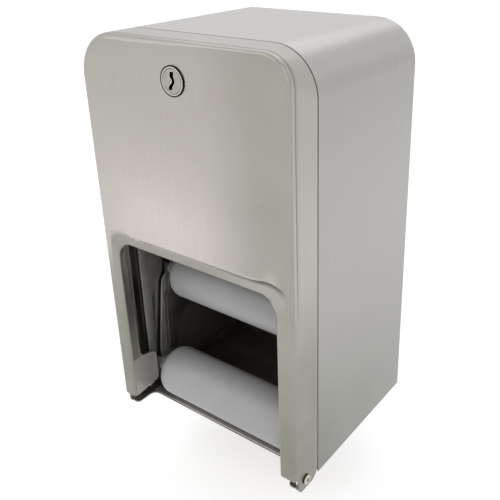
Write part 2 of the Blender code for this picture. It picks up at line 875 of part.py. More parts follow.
def make_latch_strike(material, parent):
    """Angle bracket under the lip: a foot against the sheet and a tab that hangs down."""
    top = height - joggle_depth - cabinet_sheet - fit_gap
    low = top - strike_drop
    rear = lip_front + strike_foot_length
    outline = [
        (lip_front, low), (lip_front + strike_sheet, low),
        (lip_front + strike_sheet, top - strike_sheet), (rear, top - strike_sheet),
        (rear, top), (lip_front, top),
    ]
    return prism("latch_strike", outline, "X", -strike_half_width, strike_half_width, material, parent)


def add_empty(name, location, parent=None):
    empty = bpy.data.objects.new(name, None)
    empty.location = location
    empty.parent = parent
    bpy.context.scene.collection.objects.link(empty)
    return empty


def add_axis(name, place, parent):
    """An empty on a joint's axis, and one under it whose pieces keep the cabinet's coordinates."""
    axis = add_empty(name, place, parent)
    back = [-value for value in place]
    return add_empty(name + "_pieces", back, axis)


def build():
    clear_scene()
    steel = make_material("brushed_sheet", (0.62, 0.61, 0.58), 1.0, 0.38)
    door_steel = make_material("door_sheet", (0.64, 0.62, 0.60), 1.0, 0.36)
    inner_steel = make_material("inner_sheet", (0.42, 0.41, 0.39), 1.0, 0.42)
    lever_steel = make_material("lever_sheet", (0.50, 0.49, 0.47), 1.0, 0.40)
    rivet_steel = make_material("rivet_steel", (0.55, 0.54, 0.52), 1.0, 0.32)
    lock_metal = make_material("lock_metal", (0.68, 0.67, 0.64), 1.0, 0.28)
    plastic = make_material("spindle_plastic", (0.55, 0.56, 0.58), 0.0, 0.45)

    base = add_empty("dispenser_centre", (0, 0, -height / 2))
    make_cabinet_shell(steel, base)
    make_back_plate(inner_steel, base)
    make_base_floor(inner_steel, base)
    make_latch_strike(inner_steel, base)
    door = add_axis("door_axis", (0, hinge_y, hinge_height), base)
    make_door_panel(door_steel, door)
    make_lock_barrel(lock_metal, door)
    make_lock_washer(rivet_steel, door)
    make_lock_nut(rivet_steel, door)
    lock = add_axis("lock_axis", (0, front, lock_height), door)
    make_lock_plug(lock_metal, lock)
    make_lock_cam(rivet_steel, lock)
    make_cam_screw(rivet_steel, lock)
    levers = add_axis("lever_axis", (0, lever_pivot_y, lever_pivot_height), base)
    make_release_bar(rivet_steel, levers)
    for side, word in ((-1, "left"), (1, "right")):
        make_hinge_rivet(word + "_hinge_rivet", side, rivet_steel, base)
        make_track_plate(word + "_track_plate", side, inner_steel, base)
        for level, z in zip(("lower_", "upper_"), track_rivet_heights):
            make_track_rivet(level + word + "_track_rivet", side, z, rivet_steel, base)
        make_release_lever(word + "_release_lever", side, lever_steel, levers)
        make_lever_rivet(word + "_lever_rivet", side, rivet_steel, base)
    lower_axis = add_empty("lower_spindle_axis", (0, lower_spindle_y, lower_spindle_height), base)
    make_spindle("lower_spindle", lower_axis, plastic)
    reserve_axis = add_empty("reserve_spindle_axis", (0, reserve_spindle_y, reserve_spindle_height), levers)
    make_spindle("reserve_spindle", reserve_axis, plastic)


build()
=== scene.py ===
import json
import math

import bmesh
import bpy
import numpy as np
from mathutils import Matrix, Vector

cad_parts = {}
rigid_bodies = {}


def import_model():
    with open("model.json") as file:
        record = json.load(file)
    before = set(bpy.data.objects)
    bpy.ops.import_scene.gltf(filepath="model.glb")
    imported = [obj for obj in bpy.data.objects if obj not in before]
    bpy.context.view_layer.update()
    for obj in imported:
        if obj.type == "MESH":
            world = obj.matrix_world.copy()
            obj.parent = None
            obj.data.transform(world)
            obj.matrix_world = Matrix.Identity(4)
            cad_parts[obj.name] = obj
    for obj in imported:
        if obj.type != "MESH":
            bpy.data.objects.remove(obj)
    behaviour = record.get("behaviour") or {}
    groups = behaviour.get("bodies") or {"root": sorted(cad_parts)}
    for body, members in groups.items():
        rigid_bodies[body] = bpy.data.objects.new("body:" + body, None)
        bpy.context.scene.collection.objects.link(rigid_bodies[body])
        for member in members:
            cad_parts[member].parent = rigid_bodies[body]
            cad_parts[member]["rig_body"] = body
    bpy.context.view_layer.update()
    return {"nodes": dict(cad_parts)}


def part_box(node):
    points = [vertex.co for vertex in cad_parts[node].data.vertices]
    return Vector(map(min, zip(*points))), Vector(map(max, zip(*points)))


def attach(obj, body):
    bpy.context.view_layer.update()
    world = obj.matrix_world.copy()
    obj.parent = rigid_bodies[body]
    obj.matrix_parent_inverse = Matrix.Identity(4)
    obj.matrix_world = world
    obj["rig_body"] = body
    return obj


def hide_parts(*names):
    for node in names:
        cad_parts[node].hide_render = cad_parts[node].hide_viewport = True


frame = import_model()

print("frame loaded:", len(frame["nodes"]), "nodes")

# the whole dispenser, in metres: x to the right, y to the wall, z up from the cabinet's bottom edge
dispenser = {
    "width": 0.155, "height": 0.272, "depth": 0.135, "cornerRadius": 0.027,
    "seamDepth": 0.0252,  # from the door's front to the seam with the cabinet
    "seamGap": 0.0008, "hingeSetback": 0.0115, "hingeHeight": 0.005, "lockHeight": 0.2505,
}
halfWidth = dispenser["width"] / 2
front = -dispenser["depth"]
seam = front + dispenser["seamDepth"]
hingeY = front + dispenser["hingeSetback"]
hingeZ = dispenser["hingeHeight"]
topZ = dispenser["height"]
centreZ = topZ / 2  # the frame's middle height
fitGap = 0.0003
hair = 0.00005  # closer than this is the same place
tiny = 1e-9  # keeps a divisor from zero
weldCells = 1e6  # to the metre; points in one cell become one point
weldShift = 0.237  # keeps points off the half steps, where rounding could go either way
holeSegments = 48
sheetSharp = 40  # degrees; steeper edges of bent sheet stay sharp
turnedSharp = 35

# shared shape tools

def arcPoints(centre, radius, start, end, steps):
    # centre plus radius times (cosine, sine) of angles spread evenly from start to end
    angle = np.radians(np.linspace(start, end, steps + 1))
    return np.stack([centre[0] + radius * np.cos(angle), centre[1] + radius * np.sin(angle)], axis=1)


def cornerArcs(half, height, left, right, steps):
    # from the left side over to the top, and from the top to the right side, each with its own radius
    return [arcPoints((left - half, height - left), left, 180, 90, steps),
            arcPoints((half - right, height - right), right, 90, 0, steps)]


def straight(first, last, steps):
    # evenly spread points from first to last
    share = np.linspace(0, 1, steps + 1)[:, None]
    return np.array(first) * (1 - share) + np.array(last) * share


def joined(parts):
    # point rows laid end to end, without the doubled point at each joint
    return np.concatenate([parts[0]] + [part[1:] for part in parts[1:]])


def spread(knots, steps):
    # numbers from the first knot to the last, with so many even steps between each two
    return joined([np.linspace(*ends, count + 1) for *ends, count in zip(knots, knots[1:], steps)])


def raised(pairs, depth):
    # front view pairs (x, z) put at a depth y, which is one value or one for each point
    depth = np.broadcast_to(depth, len(pairs))
    return np.stack([pairs[:, 0], depth, pairs[:, 1]], axis=1)


def smoothShare(value):
    # zero below 0, one above 1, and the cubic 3t^2 - 2t^3 between
    value = np.clip(value, 0, 1)
    return value * value * (3 - 2 * value)


def ease(value, start, length):
    # the smooth share of a change from its start over its length, which is negative for a fall
    return smoothShare((value - start) / length)


def tint(value, strength, start, length):
    return strength * ease(value, start, length)


def bell(value, centre, width):
    # one at the centre, falling to both sides as a bell curve
    return np.exp(-((value - centre) / width) ** 2)


def newObject(name, data):
    item = bpy.data.objects.new(name, data)
    bpy.context.scene.collection.objects.link(item)
    return item


def surfaceObject(name, grids, facing=None):
    # every grid of points becomes quads; points closer than a micrometre are one point,
    # and a quad that lost a corner that way becomes a triangle
    corners, quads, base = [], [], 0
    for grid in grids:
        rows, columns = grid.shape[:2]
        index = np.arange(rows * columns).reshape(rows, columns) + base
        around = index[:-1, :-1], index[:-1, 1:], index[1:, 1:], index[1:, :-1]
        quads.append(np.stack(around, axis=-1).reshape(-1, 4))
        corners.append(grid.reshape(-1, 3))
        base += rows * columns
    corners = np.concatenate(corners)
    cells = np.round(corners * weldCells + weldShift).astype(np.int64)
    first, inverse = np.unique(cells, axis=0, return_index=True, return_inverse=True)[1:]
    corners = corners[first]
    quads = inverse.reshape(-1)[np.concatenate(quads)]
    kept = quads != np.roll(quads, -1, axis=1)
    sides = kept.sum(axis=1)
    quads, kept, sides = quads[sides > 2], kept[sides > 2], sides[sides > 2]
    starts = np.concatenate([[0], np.cumsum(sides)[:-1]])
    mesh = bpy.data.meshes.new(name)
    mesh.vertices.add(len(corners))
    mesh.vertices.foreach_set("co", corners.reshape(-1))
    mesh.loops.add(int(sides.sum()))
    mesh.loops.foreach_set("vertex_index", quads[kept].astype(np.int32))
    mesh.polygons.add(len(sides))
    mesh.polygons.foreach_set("loop_start", starts.astype(np.int32))
    mesh.update(calc_edges=True)
    mesh.validate()
    evenNormals(mesh, facing)
    mesh.shade_smooth()
    return newObject(name, mesh)


def evenNormals(mesh, facing):
    # all faces one way round; facing is the direction that the first face should look
    work = bmesh.new()
    work.from_mesh(mesh)
    bmesh.ops.recalc_face_normals(work, faces=work.faces)
    work.faces.ensure_lookup_table()
    if facing is not None and work.faces[0].normal.dot(Vector(facing)) < 0:
        bmesh.ops.reverse_faces(work, faces=work.faces)
    work.to_mesh(mesh)
    work.free()


def turnedGrid(profile, axis, centre, segments):
    # profile pairs (distance along the axis, radius) swung once round the axis
    turn = np.linspace(0, 2 * math.pi, segments + 1)
    along = np.repeat(profile[:, :1], segments + 1, axis=1)
    across = centre[0] + profile[:, 1:] * np.cos(turn)
    up = centre[1] + profile[:, 1:] * np.sin(turn)
    order = {"X": (along, across, up), "Y": (across, along, up)}[axis]
    return np.stack(order, axis=-1)


def turnedObject(name, profile, axis, centre, segments):
    item = surfaceObject(name, [turnedGrid(profile, axis, centre, segments)])
    faceOutwards(item)
    return item


def addSheet(item, thickness):
    sheet = item.modifiers.new("sheet", "SOLIDIFY")
    sheet.thickness = thickness
    sheet.offset = -1
    sheet.use_quality_normals = True
    applyModifiers(item)


def applyModifiers(item):
    bpy.context.view_layer.update()
    graph = bpy.context.evaluated_depsgraph_get()
    mesh = bpy.data.meshes.new_from_object(item.evaluated_get(graph))
    item.modifiers.clear()
    item.data = mesh


def drillHoles(item, holes):
    # each hole is (axis, centre, radius, low, high); all are cut in one go
    grids = []
    for axis, centre, radius, low, high in holes:
        profile = np.array([(low, 0), (low, radius), (high, radius), (high, 0)])
        grids.append(turnedGrid(profile, axis, centre, holeSegments))
    cutWith(item, surfaceObject("hole cutter", grids))


def faceOutwards(item):
    work = bmesh.new()
    work.from_mesh(item.data)
    if work.calc_volume(signed=True) < 0:
        bmesh.ops.reverse_faces(work, faces=work.faces)
        work.to_mesh(item.data)
    work.free()


def cutWith(item, cutter):
    faceOutwards(cutter)
    cut = item.modifiers.new("cut", "BOOLEAN")
    cut.operation = "DIFFERENCE"
    cut.solver = "EXACT"
    cut.object = cutter
    applyModifiers(item)
    bpy.data.objects.remove(cutter, do_unlink=True)


def meshPoints(item):
    points = np.empty(len(item.data.vertices) * 3)
    item.data.vertices.foreach_get("co", points)
    return points.reshape(-1, 3)


def lower(item):
    # from heights over the cabinet's bottom edge to the frame's own heights
    points = meshPoints(item)
    points[:, 2] -= centreZ
    item.data.vertices.foreach_set("co", points.reshape(-1))
    item.data.update()


def sharpEdges(item, degrees):
    item.data.shade_smooth()
    item.data.set_sharp_from_angle(angle=math.radians(degrees))


def setFloat(item, name, values, domain="POINT"):
    layer = item.data.attributes.new(name, "FLOAT", domain)
    layer.data.foreach_set("value", values.astype(np.float32))


def faceVectors(item, kind):
    # every face's centre, or its normal, as one array
    values = np.empty(len(item.data.polygons) * 3)
    item.data.polygons.foreach_get(kind, values)
    return values.reshape(-1, 3)


def setGrain(item, across, along):
    # where each point lies on the flat sheet, so that brushing follows the bends
    layer = item.data.attributes.new("grain", "FLOAT_VECTOR", "POINT")
    flat = np.stack([across, along, np.zeros_like(across)], axis=1)
    layer.data.foreach_set("vector", flat.reshape(-1).astype(np.float32))


def finishPiece(item, material, body, node):
    item.data.materials.clear()
    item.data.materials.append(material)
    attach(item, body)
    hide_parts(node)

# materials

noiseRoughness = 0.55


def newMaterial(name):
    material = bpy.data.materials.new(name)
    material.use_nodes = True
    tree = material.node_tree
    return material, tree, tree.nodes["Principled BSDF"]


def feed(node, inputs):
    # each named or numbered socket takes another node's output or a plain value; a colour is three numbers
    for key, value in inputs.items():
        socket = node.inputs[key]
        if isinstance(value, bpy.types.NodeSocket):
            node.id_data.links.new(value, socket)
        else:
            socket.default_value = (*value, 1) if socket.type == "RGBA" else value
    return node


def addNode(tree, kind, inputs, **values):
    node = tree.nodes.new("ShaderNode" + kind)
    for key, value in values.items():
        setattr(node, key, value)
    return feed(node, inputs)


def pieceValue(tree, name, output="Fac"):
    # what the piece itself carries under this name
    return addNode(tree, "Attribute", {}, attribute_name=name).outputs[output]


def pieceSpace(tree):
    # the place within the piece, in metres
    return addNode(tree, "TexCoord", {}).outputs["Object"]


def noiseNode(tree, source, scale, detail, shares=(1, 1, 1)):
    # noise on coordinates that are multiplied by their shares; a small share draws the noise out
    place = addNode(tree, "Mapping", {"Vector": source, "Scale": shares}).outputs["Vector"]
    inputs = {"Vector": place, "Scale": scale, "Detail": detail, "Roughness": noiseRoughness}
    return addNode(tree, "TexNoise", inputs).outputs["Fac"]


def rangeNode(tree, source, low, high, newLow, newHigh):
    inputs = {"Value": source, "From Min": low, "From Max": high, "To Min": newLow, "To Max": newHigh}
    return addNode(tree, "MapRange", inputs).outputs["Result"]


def mixColours(tree, share, first, second):
    # in a mix node the colour sockets are inputs 6 and 7 and output 2
    return addNode(tree, "Mix", {0: share, 6: first, 7: second}, data_type="RGBA").outputs[2]


def sumNodes(tree, first, second, share):
    return addNode(tree, "Math", {0: second, 1: share, 2: first}, operation="MULTIPLY_ADD").outputs["Value"]


def bumpNode(tree, source, look):
    inputs = {"Height": source, "Strength": look["bump"], "Distance": look["bumpDepth"]}
    return addNode(tree, "Bump", inputs).outputs["Normal"]


def brushedSteel(name, look, onSheet=False):
    # the painted light and shade of a sheet, the painted highlights and the painted shade are values that a
    # piece carries on its points or faces, and zero where it has none
    material, tree, shader = newMaterial(name)
    if onSheet:
        place = pieceValue(tree, "grain", "Vector")
        paintedLightAndTone = pieceValue(tree, "paintedLightAndTone")
        streak = (1, look["grainStretch"], 1)
    else:
        place = pieceSpace(tree)
        paintedLightAndTone = noiseNode(tree, place, look["toneScale"], look["broadDetail"])
        paintedLightAndTone = rangeNode(tree, paintedLightAndTone, *look["toneRange"], 0, 1)
        streak = (1, 1, look["grainStretch"])
    fine = noiseNode(tree, place, look["grainScale"], look["fineDetail"], streak)
    broad = noiseNode(tree, place, look["grainScale"] * look["broadShare"], look["broadDetail"], streak)
    cloud = noiseNode(tree, place, look["cloudScale"], look["cloudDetail"])
    grain = sumNodes(tree, fine, broad, look["broadWeight"])
    colour = mixColours(tree, paintedLightAndTone, look["dark"], look["light"])
    clouded = rangeNode(tree, cloud, *look["cloudRange"], 0, look["cloudWeight"])
    colour = mixColours(tree, clouded, colour, look["cloud"])
    streaked = rangeNode(tree, grain, *look["streakRange"], look["streakWeight"], 0)
    colour = mixColours(tree, streaked, colour, look["streak"])
    # painted highlights, then painted shade, laid over the colour
    for mark in ("edge", "paintedShade"):
        colour = mixColours(tree, pieceValue(tree, mark), colour, look[mark])
    if "rearShade" in look:  # darker towards the wall, where less light comes in
        depth = addNode(tree, "SeparateXYZ", {0: pieceSpace(tree)}).outputs["Y"]
        colour = mixColours(tree, rangeNode(tree, depth, *look["rearShade"], 0, 1), colour, look["paintedShade"])
    if onSheet:
        metal = rangeNode(tree, pieceValue(tree, "dull"), 0, 1, 1, look["dullMetal"])
    elif look["metal"] < 1:
        metal = rangeNode(tree, pieceValue(tree, "edge"), 0, 1, look["metal"], 1)
    else:
        metal = 1
    feed(shader, {
        "Base Color": colour, "Metallic": metal, "Normal": bumpNode(tree, grain, look),
        "Roughness": rangeNode(tree, grain, *look["roughRange"], look["roughHigh"], look["roughLow"])})
    return material


# on a sheet, light and dark are the ends of its painted light and shade, elsewhere those of a random tone;
# cloud and streak are the steel's own blotches and grain; the edge colour is laid on as painted highlights,
# and the darkest colour as painted shade
doorLook = {
    "light": (0.63, 0.585, 0.565), "dark": (0.21, 0.212, 0.175), "cloud": (0.47, 0.44, 0.42),
    "cloudWeight": 0.22, "cloudScale": 26, "cloudDetail": 3, "cloudRange": (0.4, 0.75),
    "streak": (0.33, 0.31, 0.285), "streakWeight": 0.24, "streakRange": (0.5, 0.85),
    "edge": (0.66, 0.64, 0.58), "paintedShade": (0.07, 0.06, 0.05), "toneScale": 40, "toneRange": (0.35, 0.65),
    "grainScale": 4200, "grainStretch": 0.012, "fineDetail": 4, "broadDetail": 2, "broadShare": 0.2,
    "broadWeight": 0.35, "roughRange": (0.5, 0.9), "roughLow": 0.30, "roughHigh": 0.38, "bump": 0.09,
    "bumpDepth": 0.00005, "metal": 1.0, "dullMetal": 0.35,
}
innerLook = dict(
    doorLook, light=(0.46, 0.45, 0.42), dark=(0.28, 0.27, 0.245), cloud=(0.32, 0.305, 0.28),
    streak=(0.22, 0.21, 0.19), edge=(0.85, 0.83, 0.78), paintedShade=(0.03, 0.025, 0.02), grainScale=1500, metal=0.5,
    roughLow=0.4, roughHigh=0.55)

doorSteel = brushedSteel("door brushed steel", doorLook, True)
cabinetSteel = brushedSteel("cabinet brushed steel", dict(
    doorLook, light=(0.445, 0.43, 0.415), dark=(0.22, 0.225, 0.20), cloud=(0.39, 0.38, 0.355),
    streak=(0.32, 0.315, 0.29), edge=(0.95, 0.93, 0.88)), True)
innerSteel = brushedSteel("inner sheet steel", innerLook)
# the lever's dark colours are painted shade inside the cabinet
leverSteel = brushedSteel("lever sheet steel", dict(
    innerLook, light=(0.20, 0.19, 0.175), dark=(0.12, 0.115, 0.10), edge=(0.90, 0.88, 0.83), metal=0.8))
backSteel = brushedSteel("back pan steel", dict(
    innerLook, light=(0.42, 0.41, 0.385), dark=(0.35, 0.34, 0.315), cloud=(0.37, 0.36, 0.335),
    paintedShade=(0.13, 0.10, 0.078), metal=1.0))
trackSteel = brushedSteel("track plate steel", dict(
    innerLook, paintedShade=(0.16, 0.125, 0.10), rearShade=(-0.09, -0.078)))
# the floor plate's dark colours are painted shade inside the cabinet
floorSteel = brushedSteel("floor plate steel", dict(
    innerLook, light=(0.20, 0.17, 0.14), dark=(0.12, 0.10, 0.085), cloud=(0.15, 0.13, 0.11),
    streak=(0.11, 0.095, 0.08), edge=(0.7, 0.69, 0.65), metal=0.6))
rivetSteel = brushedSteel("rivet steel", dict(
    doorLook, light=(0.60, 0.58, 0.54), dark=(0.44, 0.43, 0.40), toneScale=400, grainScale=3500,
    grainStretch=1))
lockSteel = brushedSteel("lock nickel plate", dict(
    doorLook, light=(0.40, 0.375, 0.345), dark=(0.32, 0.30, 0.275), cloud=(0.36, 0.335, 0.31),
    edge=(0.52, 0.495, 0.455), paintedShade=(0.012, 0.009, 0.007), toneScale=300, grainScale=3500, grainStretch=1,
    roughLow=0.26, roughHigh=0.36))


def mouldedPlastic(name, look):
    material, tree, shader = newMaterial(name)
    place = pieceSpace(tree)
    cloud = noiseNode(tree, place, look["cloudScale"], look["cloudDetail"])
    speckle = noiseNode(tree, place, look["grainScale"], look["grainDetail"])
    clouded = rangeNode(tree, cloud, *look["range"], 0, 1)
    feed(shader, {
        "Base Color": mixColours(tree, clouded, look["dark"], look["light"]),
        "Roughness": rangeNode(tree, speckle, *look["range"], look["roughLow"], look["roughHigh"]),
        "Normal": bumpNode(tree, speckle, look)})
    return material


spindleLook = {
    "light": (0.485, 0.485, 0.485), "dark": (0.45, 0.45, 0.45), "cloudScale": 60, "cloudDetail": 3,
    "grainScale": 2500, "grainDetail": 2, "range": (0.3, 0.7), "roughLow": 0.38, "roughHigh": 0.5,
    "bump": 0.2, "bumpDepth": 0.00004,
}
spindlePlastic = mouldedPlastic("spindle moulded plastic", spindleLook)
print("materials ready")

# door: one drawn shell with the roll opening between two legs

door = {
    "sheet": 0.0012,
    "edgeRadius": (0.0043, 0.0018),  # on the left and on the right
    "edgeBlend": 0.04,  # half the length over which the one becomes the other
    "frontCornerRadius": (0.027, 0.017),  # the right corner is tighter at the front than at the seam
    "leftSqueeze": 0.926, "openingHalfWidth": 0.065, "openingTop": 0.1354, "openingRadius": 0.012,
    "openingRoll": 0.0025, "legBottom": 0.0105,
    "legHeights": (0.0145, 0.033, 0.044),  # where the spacing of the rows up a leg changes
    "legSteps": (6, 7, 11, 15), "grooveDepth": 0.0012, "grooveStart": 0.0194,
    "grooveLip": (0.3, 0.06, 0.05),  # how much deeper it starts, at what share of its width, how wide
    "grooveFade": (36.0, 22.0),  # degrees
    "grooveBend": 0.2,  # up to this share of its width its rows are closer
    "squarePower": 8, "outerSquare": 0.7, "sideSpread": 1.7,
    "grooveRise": 0.0018, "grooveRisePlace": (0.061, 0.008),
    "grooveRiseEase": (1.4, 0.3), "creaseBack": 0.0050, "creaseWidth": 0.0006,
    "creaseDepth": 0.0003, "creaseEase": (0.128, 0.014), "returnDepth": 0.006, "legReturnDepth": 0.009,
    "plateDepth": 0.0235, "plateTop": 0.038, "plateBottom": 0.013, "plateRound": 0.0015,
    "plateShoulder": ((-0.004, 0), (-0.001, -0.0012), (0.0005, -0.0045)),  # steps up and back
    "plateNeck": ((0.0018, 0.003), (0.005, 0)), "earFront": 0.0045, "earBottom": -0.002, "earRadius": 0.008,
    "toeRadius": 0.003, "lockHoleRadius": 0.0083, "hingeHoleRadius": 0.0029, "drillReach": 0.002,
    "edgeSteps": 12, "rollSteps": 10, "panelSteps": 14, "arcSteps": 32, "cornerSteps": 24, "crossSteps": 48,
    "topSteps": 24, "sideSteps": 20, "earSteps": 21, "plateSteps": 5, "returnSteps": (3,),
    "bandSteps": (3,), "grooveSteps": (6, 8), "stripSteps": (3,), "creaseSteps": (8, 8), "panelWave": 0.00010,
    "waves": ((61, 1.1), (83, 0.4), (118, 47, 0.6)),  # per metre across and up, then a slanted one
    # painted shade and highlight marks, and tones of painted light and shade; a row is strength, start and
    # length of a change along one axis
    "groovePlace": 0.0005, "grooveWidth": (0.0006, 0.046, 0.012), "grooveMark": 0.75,
    "grooveMarkRight": (0.25, -0.04, 0.10), "grooveMarkStart": (-0.046, 0.012), "crestPlace": 0.0021,
    "crestWidth": 0.0005, "crestMark": (0.45, 0.02, 0.04), "creaseMark": (0.6, 0.10, 0.06),
    "creaseMarkWidth": 0.0005, "creaseMarkReach": 0.0006, "frontReach": 0.003, "plateMargin": 0.002,
    "returnReach": 1.5, "rearMark": 0.7, "returnDull": 0.5, "returnTone": 0.62, "panelTone": 0.46,
    "patchTone": 0.36,
    "patch": ((-0.02, 0.055), (0.156, 0.034)),  # the painted light patch's centre and width, across and up
    "lowTone": (0.08, 0.25, -0.06), "rightTone": (-0.31, 0.01, 0.05), "rightHigh": 0.6,
    "rightLow": (0.4, 0.24, -0.06), "bandTone": 0.24, "legTone": (-0.16, 0.11, -0.07),
    "leftLegTone": (-0.08, -0.05, -0.01), "bandStart": (0.128, 0.006), "bandLeftTone": -0.08,
    "bandRightTone": (0.16, 0, 0.05), "bandBlend": 0.03, "flangeTone": 0.43,
    "flangePatch": (0.12, 0.165, 0.04), "flangeLowTone": (-0.34, 0.15, -0.09),
}
flatHalf = halfWidth - door["edgeRadius"][1]
openingCentreX = door["openingHalfWidth"] - door["openingRadius"]
openingCentreZ = door["openingTop"] - door["openingRadius"]
grooveEnd = flatHalf - openingCentreX
leftFlatShare = (halfWidth - door["edgeRadius"][0] - openingCentreX) / grooveEnd
flangeRear = seam - dispenser["seamGap"]
bandStart = door["openingRadius"] + door["openingRoll"]
legKnots = (door["legBottom"], *door["legHeights"], openingCentreZ)
legHeights = spread(legKnots, door["legSteps"]).round(7)


def legLine(x, upwards=True):
    line = np.stack([np.full_like(legHeights, x), legHeights], axis=1)
    return line if upwards else line[::-1]


def openingPath(distance, squareShare=0.0):
    # up the left leg, over the opening and down the right leg; the corners are arcs, which the square share
    # pushes out towards a superellipse and lifts by the groove's rise
    squeeze = np.interp(distance, [bandStart, grooveEnd], [1, leftFlatShare])
    turn = arcPoints((0, 0), 1, 0, 90, door["arcSteps"])
    power = door["squarePower"]
    push = 1 + squareShare * ((turn ** power).sum(axis=1) ** (-1 / power) - 1)
    right = (turn * (push * distance)[:, None] + (openingCentreX, openingCentreZ))[::-1]
    left = (right[::-1] - (openingCentreX, 0)) * (-squeeze, 1) - (openingCentreX, 0)
    path = joined([legLine(left[0, 0]), left, straight(left[-1], right[0], door["crossSteps"]), right,
                   legLine(right[-1, 0], False)])
    path[:, 1] += squareShare * grooveLift(path[:, 0], path[:, 1])
    return path


def grooveLift(x, z):
    # the groove rises a little just before each corner, and only above the height where the corner starts
    growth, delay = door["grooveRiseEase"]
    above = smoothShare((z - openingCentreZ) / door["grooveStart"] * growth - delay)
    return door["grooveRise"] * above * bell(np.abs(x), *door["grooveRisePlace"])


def grooveDistance(x, z):
    # the row of the groove that a point lies on, by the superellipse round the nearer corner's centre
    across = np.maximum(np.abs(x) - openingCentreX, 0) / np.where(x < 0, door["leftSqueeze"], 1)
    up = np.maximum(z - openingCentreZ - grooveLift(x, z), 0)
    power = door["squarePower"]
    return (across ** power + up ** power) ** (1 / power)


def cornerAt(back, x):
    # the outline's corner radius, which grows evenly from the crease in the flange to the seam
    share = np.clip((back - door["creaseBack"]) / (flangeRear - front - door["creaseBack"]), 0, 1)
    atFront = np.where(x < 0, *door["frontCornerRadius"])
    return atFront + (dispenser["cornerRadius"] - atFront) * share


def edgeRadiusAt(x):
    # the front edge's roll changes smoothly along the top
    left, right = door["edgeRadius"]
    return left + tint(x, right - left, -door["edgeBlend"], 2 * door["edgeBlend"])


def edgePath(back=0.0):
    # up the left edge, round the two top corners and down the right edge
    left, right = float(cornerAt(back, -1)), float(cornerAt(back, 1))
    arcs = cornerArcs(halfWidth, topZ, left, right, door["cornerSteps"])
    rise = np.linspace(0, 1, door["sideSteps"] + 1)[:, None] ** door["sideSpread"]
    sides = [np.array((x, openingCentreZ)) * (1 - rise) + end * rise
             for x, end in ((-halfWidth, arcs[0][0]), (halfWidth, arcs[1][-1]))]
    across = straight(arcs[0][-1], arcs[1][0], door["topSteps"])
    return joined([legLine(-halfWidth), sides[0], arcs[0], across, arcs[1], sides[1][::-1],
                   legLine(halfWidth, False)])


def pastCorner(x, z, corner):
    # how far points lie beyond the corner's centre, outwards and upwards
    return np.maximum(np.abs(x) - halfWidth + corner, 0), np.maximum(z - topZ + corner, 0)


def edgeRow(inset, back):
    # the edge path, moved square to the outline by its inset; both values can vary along the path
    path = edgePath(float(np.mean(back)))
    outX, outZ = pastCorner(*path.T, cornerAt(np.mean(back), path[:, 0]))
    out = np.stack([outX * np.sign(path[:, 0]), outZ], axis=1)
    out /= np.hypot(*out.T)[:, None]
    return raised(path - out * np.broadcast_to(inset, len(path))[:, None], front + back)


def grooveFade(path):
    # one over the opening, falling to zero as the corner turns down into the leg
    run = np.maximum(np.abs(path[:, 0]) - openingCentreX, 0)
    rise = np.maximum(path[:, 1] - openingCentreZ, 0)
    return ease(np.degrees(np.arctan2(rise, run + tiny)), *door["grooveFade"])


def openingRow(distance, depth, setbackShare):
    # round corners at the opening, nearly square ones at the groove, then a little rounder again
    square = np.interp(distance, [bandStart, door["grooveStart"], grooveEnd], [0, 1, door["outerSquare"]])
    path = openingPath(distance, float(square))
    return raised(path, depth + door["grooveDepth"] * setbackShare * grooveFade(path))


def openingSurface():
    # rows from the return round the roll, over the band and through the groove to the panel
    roll = door["openingRoll"]
    angles = np.linspace(0, math.pi / 2, door["rollSteps"] + 1)
    rows = [openingRow(door["openingRadius"] + roll * (1 - math.cos(a)),
                       front + roll * (1 - math.sin(a)), 1) for a in angles]
    start = door["grooveStart"]
    rows += [openingRow(distance, front, 1) for distance in spread((bandStart, start), door["bandSteps"])[1:]]
    deeper, place, width = door["grooveLip"]
    for share in spread((0, door["grooveBend"], 1), door["grooveSteps"])[1:]:
        # a lip at the band, then the panel's edge as a quarter of an ellipse
        setback = 1 - math.sqrt(1 - (1 - share) ** 2) + deeper * bell(share, place, width)
        rows.append(openingRow(start + (grooveEnd - start) * share, front, setback if share < 1 else 0))
    return np.stack(rows)


def panelSurface(inner, outer):
    # ruled from the groove's row to the outer edge's, with slight waves between the two
    share = np.linspace(0, 1, door["panelSteps"] + 1)[:, None, None]
    panel = inner * (1 - share) + outer * share
    x, z = panel[..., 0], panel[..., 2]
    (across, acrossShift), (up, upShift), (slantX, slantZ, slantShare) = door["waves"]
    wave = np.sin(x * across + acrossShift) * np.sin(z * up + upShift)
    wave += slantShare * np.sin(x * slantX + z * slantZ)
    panel[..., 1] += door["panelWave"] * wave * np.sin(math.pi * share[..., 0])
    return panel


def edgeSurface():
    # quarter-round rows from the front to the side, a strip, a shallow crease, and the flange
    path = edgePath()
    radius = edgeRadiusAt(path[:, 0])
    angles = np.linspace(0, math.pi / 2, door["edgeSteps"] + 1)
    rows = [edgeRow(radius * (1 - math.sin(a)), radius * (1 - math.cos(a))) for a in angles]
    crease, width = door["creaseBack"], door["creaseWidth"]
    start, end = crease - width, crease + width
    shares = spread((0, 1), door["stripSteps"])
    flange = [edgeRow(0, radius * (1 - share) + start * share) for share in shares]
    for back in spread((start, end, flangeRear - front), door["creaseSteps"])[1:]:
        # the crease is a bell curve across its width, and runs out above the legs
        dent = door["creaseDepth"] * bell(back, crease, width / 2)
        flange.append(edgeRow(dent * ease(edgePath(back)[:, 1], *door["creaseEase"]), back))
    return np.stack(rows), np.stack(flange)


